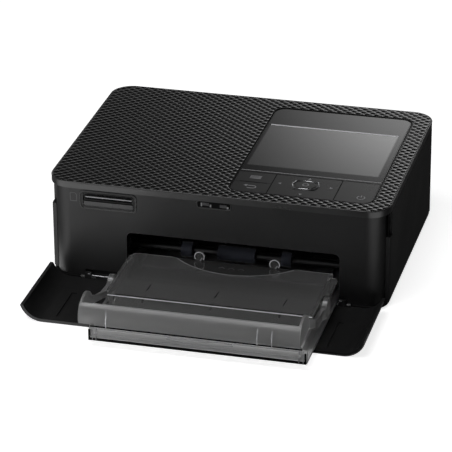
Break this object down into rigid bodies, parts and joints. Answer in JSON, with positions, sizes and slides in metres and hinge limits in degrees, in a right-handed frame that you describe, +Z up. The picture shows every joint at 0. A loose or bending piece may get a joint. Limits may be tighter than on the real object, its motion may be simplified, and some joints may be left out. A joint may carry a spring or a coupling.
{
  "type": "compact photo printer",
  "caption": "Low dye-sublimation photo printer with a display and key panel on top, front flap open and a smoke-tinted paper cassette fitted",
  "frame": {"origin": "on the table under the middle of the whole outline, with the cassette fitted and the front flap open", "axes": "+Z up, the front with the cassette faces -Y, +X is the user's right as they face the front"},
  "size_m": [0.1822, 0.2036, 0.0576],
  "materials": {
    "case_plastic": "fine matte texture",
    "panel_plastic": "satin",
    "display_window": "glossy, tinted",
    "display_panel": "smooth",
    "steel": "bright",
    "rubber": "matte",
    "pale_plastic": "satin",
    "brass": "machined",
    "aluminium": "extruded",
    "ceramic": "smooth",
    "circuit_board": "satin",
    "bush_plastic": "smooth",
    "ink_film": "smooth",
    "smoke_plastic": "clear, smoke tinted"
  },
  "bodies": {
    "case": {"base_shell": "case_plastic", "top_cover": "case_plastic", "front_panel": "case_plastic", "left_panel": "case_plastic", "rear_panel": "case_plastic", "hinge_pins": "steel", "rubber_feet": "rubber", "case_screws": "steel", "panel_frame": "panel_plastic", "display_glass": "display_window", "display_module": "display_panel", "key_board": "circuit_board", "key_switches": "pale_plastic", "main_board": "circuit_board", "board_parts": "case_plastic", "card_bezel": "case_plastic", "card_socket": "steel", "power_inlet": "case_plastic", "usb_socket": "steel", "flap_catch": "case_plastic", "chassis_left": "steel", "chassis_right": "steel", "upper_guide": "case_plastic", "lower_guide": "case_plastic", "shaft_bushes": "bush_plastic", "plate_studs": "steel", "drive_motor": "steel", "ribbon_shell": "pale_plastic", "ribbon_film": "ink_film"},
    "flap": {"front_flap": "case_plastic"},
    "door": {"ribbon_door": "case_plastic"},
    "menu": {"menu_key": "panel_plastic"},
    "back": {"back_key": "panel_plastic"},
    "pad": {"direction_pad": "panel_plastic"},
    "ok": {"ok_key": "panel_plastic"},
    "power": {"power_key": "panel_plastic"},
    "pick": {"pick_shaft": "steel", "pick_rollers": "rubber", "pick_gear": "pale_plastic"},
    "platen": {"platen_shaft": "steel", "platen_roller": "rubber", "platen_gear": "pale_plastic"},
    "feed": {"feed_roller": "steel", "feed_gear": "pale_plastic"},
    "pinch": {"pinch_roller": "rubber"},
    "head": {"thermal_head": "ceramic", "heat_sink": "aluminium"},
    "pinion": {"motor_pinion": "brass"},
    "idler_front": {"front_idler": "pale_plastic"},
    "idler_middle": {"middle_idler": "pale_plastic"},
    "idler_feed": {"feed_idler": "pale_plastic"},
    "takeup": {"takeup_spool": "ink_film", "takeup_gear": "pale_plastic"},
    "supply": {"supply_spool": "ink_film"},
    "cassette": {"paper_tray": "smoke_plastic", "lift_springs": "steel"},
    "lift": {"lift_plate": "case_plastic"},
    "lid": {"tray_lid": "smoke_plastic"},
    "cover": {"tray_cover": "smoke_plastic"}
  },
  "joints": [
    {"name": "flap_hinge", "type": "hinge", "parent": "case", "child": "flap", "pos_m": [0, -0.02965, 0.002], "axis": [-1, 0, 0], "range_deg": [0, 2]},
    {"name": "ribbon_door_hinge", "type": "hinge", "parent": "case", "child": "door", "pos_m": [0.0891, 0.08775, 0.028], "axis": [0, 0, 1], "range_deg": [0, 90]},
    {"name": "menu_press", "type": "slide", "parent": "case", "child": "menu", "axis": [0, 0, -1], "range_m": [0, 0.0004], "stiffness_N_per_m": 1500},
    {"name": "back_press", "type": "slide", "parent": "case", "child": "back", "axis": [0, 0, -1], "range_m": [0, 0.0004], "stiffness_N_per_m": 1500},
    {"name": "pad_press", "type": "slide", "parent": "case", "child": "pad", "axis": [0, 0, -1], "range_m": [0, 0.0004], "stiffness_N_per_m": 1500},
    {"name": "ok_press", "type": "slide", "parent": "case", "child": "ok", "axis": [0, 0, -1], "range_m": [0, 0.0004], "stiffness_N_per_m": 1500},
    {"name": "power_press", "type": "slide", "parent": "case", "child": "power", "axis": [0, 0, -1], "range_m": [0, 0.0004], "stiffness_N_per_m": 1500},
    {"name": "pick_spin", "type": "hinge", "parent": "case", "child": "pick", "pos_m": [0, -0.01075, 0.0155], "axis": [1, 0, 0], "continuous": true},
    {"name": "platen_spin", "type": "hinge", "parent": "case", "child": "platen", "pos_m": [0, 0.04525, 0.02], "axis": [1, 0, 0], "continuous": true},
    {"name": "feed_spin", "type": "hinge", "parent": "case", "child": "feed", "pos_m": [0, 0.08125, 0.02], "axis": [1, 0, 0], "continuous": true},
    {"name": "pinch_spin", "type": "hinge", "parent": "case", "child": "pinch", "pos_m": [0, 0.08125, 0.0273], "axis": [1, 0, 0], "continuous": true},
    {"name": "head_lift", "type": "hinge", "parent": "case", "child": "head", "pos_m": [0, 0.05375, 0.031], "axis": [-1, 0, 0], "range_deg": [0, 8]},
    {"name": "pinion_spin", "type": "hinge", "parent": "case", "child": "pinion", "pos_m": [0, 0.07197, 0.03576], "axis": [1, 0, 0], "continuous": true},
    {"name": "front_idler_spin", "type": "hinge", "parent": "case", "child": "idler_front", "pos_m": [0, 0.02611, 0.01846], "axis": [1, 0, 0], "continuous": true},
    {"name": "middle_idler_spin", "type": "hinge", "parent": "case", "child": "idler_middle", "pos_m": [0, 0.00602, 0.02203], "axis": [1, 0, 0], "continuous": true},
    {"name": "feed_idler_spin", "type": "hinge", "parent": "case", "child": "idler_feed", "pos_m": [0, 0.06477, 0.02329], "axis": [1, 0, 0], "continuous": true},
    {"name": "takeup_spin", "type": "hinge", "parent": "case", "child": "takeup", "pos_m": [0, 0.02267, 0.03796], "axis": [1, 0, 0], "continuous": true},
    {"name": "supply_spin", "type": "hinge", "parent": "case", "child": "supply", "pos_m": [0, 0.06825, 0.038], "axis": [1, 0, 0], "continuous": true},
    {"name": "cassette_slide", "type": "slide", "parent": "case", "child": "cassette", "axis": [0, -1, 0], "range_m": [0, 0.17]},
    {"name": "lift_plate_rise", "type": "slide", "parent": "cassette", "child": "lift", "axis": [0, 0, 1], "range_m": [0, 0.002], "stiffness_N_per_m": 200, "springref_m": 0.00045},
    {"name": "lid_hinge", "type": "hinge", "parent": "cassette", "child": "lid", "pos_m": [0, -0.07125, 0.0134], "axis": [1, 0, 0], "range_deg": [0, 10]},
    {"name": "cover_hinge", "type": "hinge", "parent": "cassette", "child": "cover", "pos_m": [0, -0.05175, 0.0113], "axis": [-1, 0, 0], "range_deg": [0, 95]}
  ],
  "couplings": [
    {"joint": "front_idler_spin", "follows": "platen_spin", "ratio": -0.88235},
    {"joint": "middle_idler_spin", "follows": "platen_spin", "ratio": 0.88235},
    {"joint": "pick_spin", "follows": "platen_spin", "ratio": -1.1538},
    {"joint": "feed_idler_spin", "follows": "platen_spin", "ratio": -0.83333},
    {"joint": "feed_spin", "follows": "platen_spin", "ratio": 1.5},
    {"joint": "pinion_spin", "follows": "platen_spin", "ratio": 2.5},
    {"joint": "takeup_spin", "follows": "platen_spin", "ratio": 0.9375},
    {"joint": "supply_spin", "follows": "platen_spin", "ratio": 0.69196},
    {"joint": "pinch_spin", "follows": "platen_spin", "ratio": -2}
  ]
}
